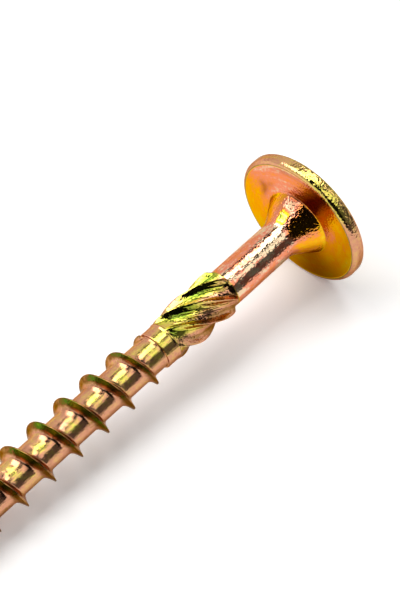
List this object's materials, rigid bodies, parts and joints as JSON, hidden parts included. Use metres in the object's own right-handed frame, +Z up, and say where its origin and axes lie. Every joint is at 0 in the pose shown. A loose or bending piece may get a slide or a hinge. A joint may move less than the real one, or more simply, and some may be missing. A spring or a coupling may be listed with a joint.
{
  "type": "washer head timber screw",
  "caption": "Long structural timber screw with a wide flat-bottomed washer head, conical neck, smooth shank, ribbed reamer and coarse thread, for clamping timber.",
  "frame": {"origin": "on the surface that the screw lies on, under the middle of its overall box", "axes": "+Z up; +X along the screw from the point towards the head, level with the surface; +Y across it"},
  "size_m": [0.0834, 0.0216, 0.0216],
  "materials": {
    "zinc_steel": "yellow passivated zinc, glossy, with pink, gold and green films of colour"
  },
  "bodies": {
    "root": {"screw": "zinc_steel"}
  },
  "joints": []
}
